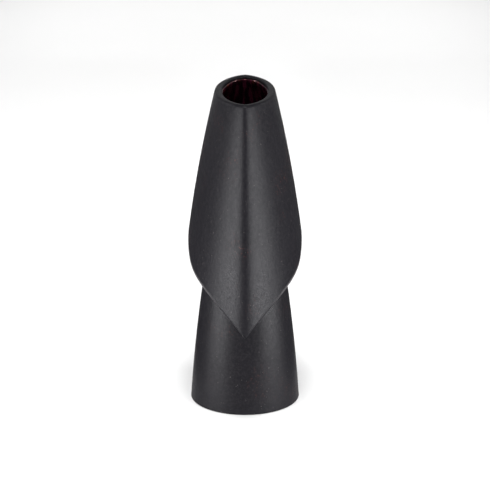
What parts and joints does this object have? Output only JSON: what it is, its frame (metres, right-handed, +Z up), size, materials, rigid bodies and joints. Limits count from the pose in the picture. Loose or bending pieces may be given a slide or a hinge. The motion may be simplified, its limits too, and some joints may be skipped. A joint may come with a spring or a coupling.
{
  "type": "ceramic vase",
  "caption": "Free-standing matte ceramic vase: a deep almond-shaped hood with front and back ridges and a pointed hem, on a round conical foot.",
  "frame": {"origin": "centre of the foot's circle on the surface the vase stands on", "axes": "+Z up, +Y from the front ridge to the back ridge, so the front ridge faces -Y; X across the narrow width"},
  "size_m": [0.1062, 0.2126, 0.3],
  "materials": {
    "matte_ceramic": "smooth satin-matte black coat over cast stoneware, dry to the touch",
    "interior_glaze": "glossy near-black burgundy glaze",
    "felt": "pressed grey wool felt"
  },
  "bodies": {
    "root": {"hood_shell": "matte_ceramic", "foot_cone": "matte_ceramic", "glaze_lining": "interior_glaze", "felt_pad_1": "felt", "felt_pad_2": "felt", "felt_pad_3": "felt", "felt_pad_4": "felt"}
  },
  "joints": []
}
